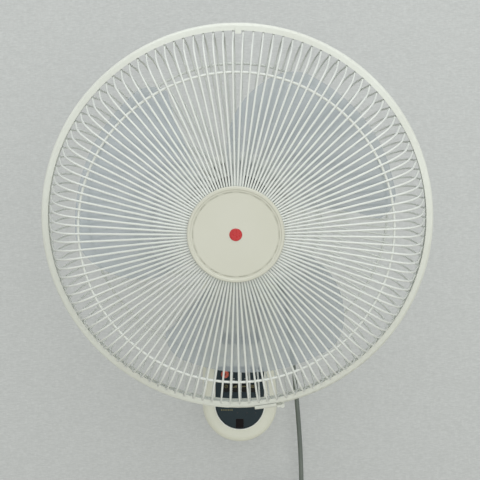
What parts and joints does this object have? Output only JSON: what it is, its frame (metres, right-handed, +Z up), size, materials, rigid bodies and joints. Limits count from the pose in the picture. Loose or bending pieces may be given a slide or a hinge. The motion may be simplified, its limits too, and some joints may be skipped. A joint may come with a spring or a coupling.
{
  "type": "wall mounted fan",
  "caption": "Wall mounted fan with a tilting neck, a swinging head, a round wire guard, translucent blades and a control panel on its wall base.",
  "frame": {"origin": "centre of the wall plate's four-screw pattern, on the wall face", "axes": "+Y into the wall, +Z up, +X to the right as seen from the room"},
  "size_m": [0.45, 0.3831, 0.7348],
  "materials": {
    "aluminium": "die cast",
    "badge": "plain red disc",
    "base_plastic": "warm white moulding, semi gloss",
    "black_plastic": "black moulding",
    "blade": "translucent blue-grey",
    "board": "circuit board",
    "bronze": "sintered bronze",
    "cap_plastic": "warm white moulding, satin",
    "copper": "enamelled windings",
    "cord": "grey-green cord",
    "grey_plastic": "grey moulding",
    "guard_wire": "white powder coat on steel wire",
    "key": "black rubbery keys",
    "lamination": "laminated steel",
    "lens": "milky lens",
    "off_key": "orange-red button",
    "panel": "dark blue-black overlay",
    "steel": "bright steel",
    "tie": "black tie",
    "white_plastic": "smooth off-white moulding",
    "window": "near-black infrared window",
    "zinc": "zinc plated"
  },
  "bodies": {
    "wall_base": {"wall_bracket": "zinc", "base_back_cover": "base_plastic", "base_housing": "base_plastic", "control_panel": "panel", "receiver_window": "window", "indicator_lenses": "lens", "control_board": "board", "board_screws": "zinc", "key_switches": "black_plastic", "power_supply": "board", "base_screws": "zinc", "tilt_pin": "steel", "tilt_nut": "zinc", "friction_washers": "grey_plastic", "cord_gland": "cord", "power_cord": "cord", "power_cord_coil": "cord", "power_cord_tail": "cord", "coil_tie": "tie", "plug_body": "cord", "plug_pins": "bronze"},
    "off_button": {"off_button": "off_key"},
    "key_1": {"key_1": "key"},
    "key_2": {"key_2": "key"},
    "key_3": {"key_3": "key"},
    "key_4": {"key_4": "key"},
    "neck": {"neck_arm": "base_plastic", "neck_cover": "base_plastic", "neck_screws": "black_plastic", "swing_post": "steel", "link_anchor": "steel"},
    "head": {"front_guard": "guard_wire", "rear_guard": "guard_wire", "guard_ring": "white_plastic", "clip_pin": "steel", "guard_hook": "zinc", "centre_cap": "cap_plastic", "cap_base": "white_plastic", "badge": "badge", "motor_front_cover": "white_plastic", "motor_rear_cover": "white_plastic", "stator_core": "lamination", "stator_windings": "copper", "motor_bearings": "bronze", "motor_bolts": "zinc", "run_capacitor": "grey_plastic", "guard_nut": "white_plastic", "front_end_bell": "aluminium", "rear_end_bell": "aluminium", "swing_bracket": "aluminium", "swing_motor": "steel"},
    "guard_clip": {"guard_clip": "white_plastic"},
    "swing_crank": {"swing_crank": "grey_plastic"},
    "swing_link": {"swing_link": "zinc"},
    "rotor": {"fan_blades": "blade", "motor_shaft": "steel", "drive_pin": "steel", "blade_nut": "white_plastic", "rotor_core": "lamination"}
  },
  "joints": [
    {"name": "neck_tilt", "type": "hinge", "parent": "wall_base", "child": "neck", "pos_m": [0, -0.046, 0.034], "axis": [1, 0, 0], "range_deg": [-20, 14]},
    {"name": "head_swing", "type": "hinge", "parent": "neck", "child": "head", "pos_m": [0, -0.16077, 0.10462], "axis": [0, -0.2079, 0.9781], "range_deg": [-40, 40]},
    {"name": "crank_turn", "type": "hinge", "parent": "head", "child": "swing_crank", "pos_m": [0.004, -0.1999, 0.0963], "axis": [0, -0.2079, 0.9781], "range_deg": [-56, 56]},
    {"name": "link_turn", "type": "hinge", "parent": "neck", "child": "swing_link", "pos_m": [0.014, -0.15994, 0.10071], "axis": [0, -0.2079, 0.9781], "range_deg": [-40, 40]},
    {"name": "blade_spin", "type": "hinge", "parent": "head", "child": "rotor", "pos_m": [0, -0.285, 0.16], "axis": [0, -0.9781, -0.2079], "continuous": true},
    {"name": "clip_open", "type": "hinge", "parent": "head", "child": "guard_clip", "pos_m": [0.05327, -0.23886, -0.05705], "axis": [0, -0.9781, -0.2079], "range_deg": [0, 55]},
    {"name": "off_button_press", "type": "slide", "parent": "wall_base", "child": "off_button", "axis": [0, 1, 0], "range_m": [0, 0.001], "stiffness_N_per_m": 600},
    {"name": "key_1_press", "type": "slide", "parent": "wall_base", "child": "key_1", "axis": [0, 1, 0], "range_m": [0, 0.001], "stiffness_N_per_m": 600},
    {"name": "key_2_press", "type": "slide", "parent": "wall_base", "child": "key_2", "axis": [0, 1, 0], "range_m": [0, 0.001], "stiffness_N_per_m": 600},
    {"name": "key_3_press", "type": "slide", "parent": "wall_base", "child": "key_3", "axis": [0, 1, 0], "range_m": [0, 0.001], "stiffness_N_per_m": 600},
    {"name": "key_4_press", "type": "slide", "parent": "wall_base", "child": "key_4", "axis": [0, 1, 0], "range_m": [0, 0.001], "stiffness_N_per_m": 600}
  ],
  "couplings": [
    {"joint": "crank_turn", "follows": "head_swing", "ratio": -1.4},
    {"joint": "link_turn", "follows": "head_swing", "ratio": 1}
  ]
}
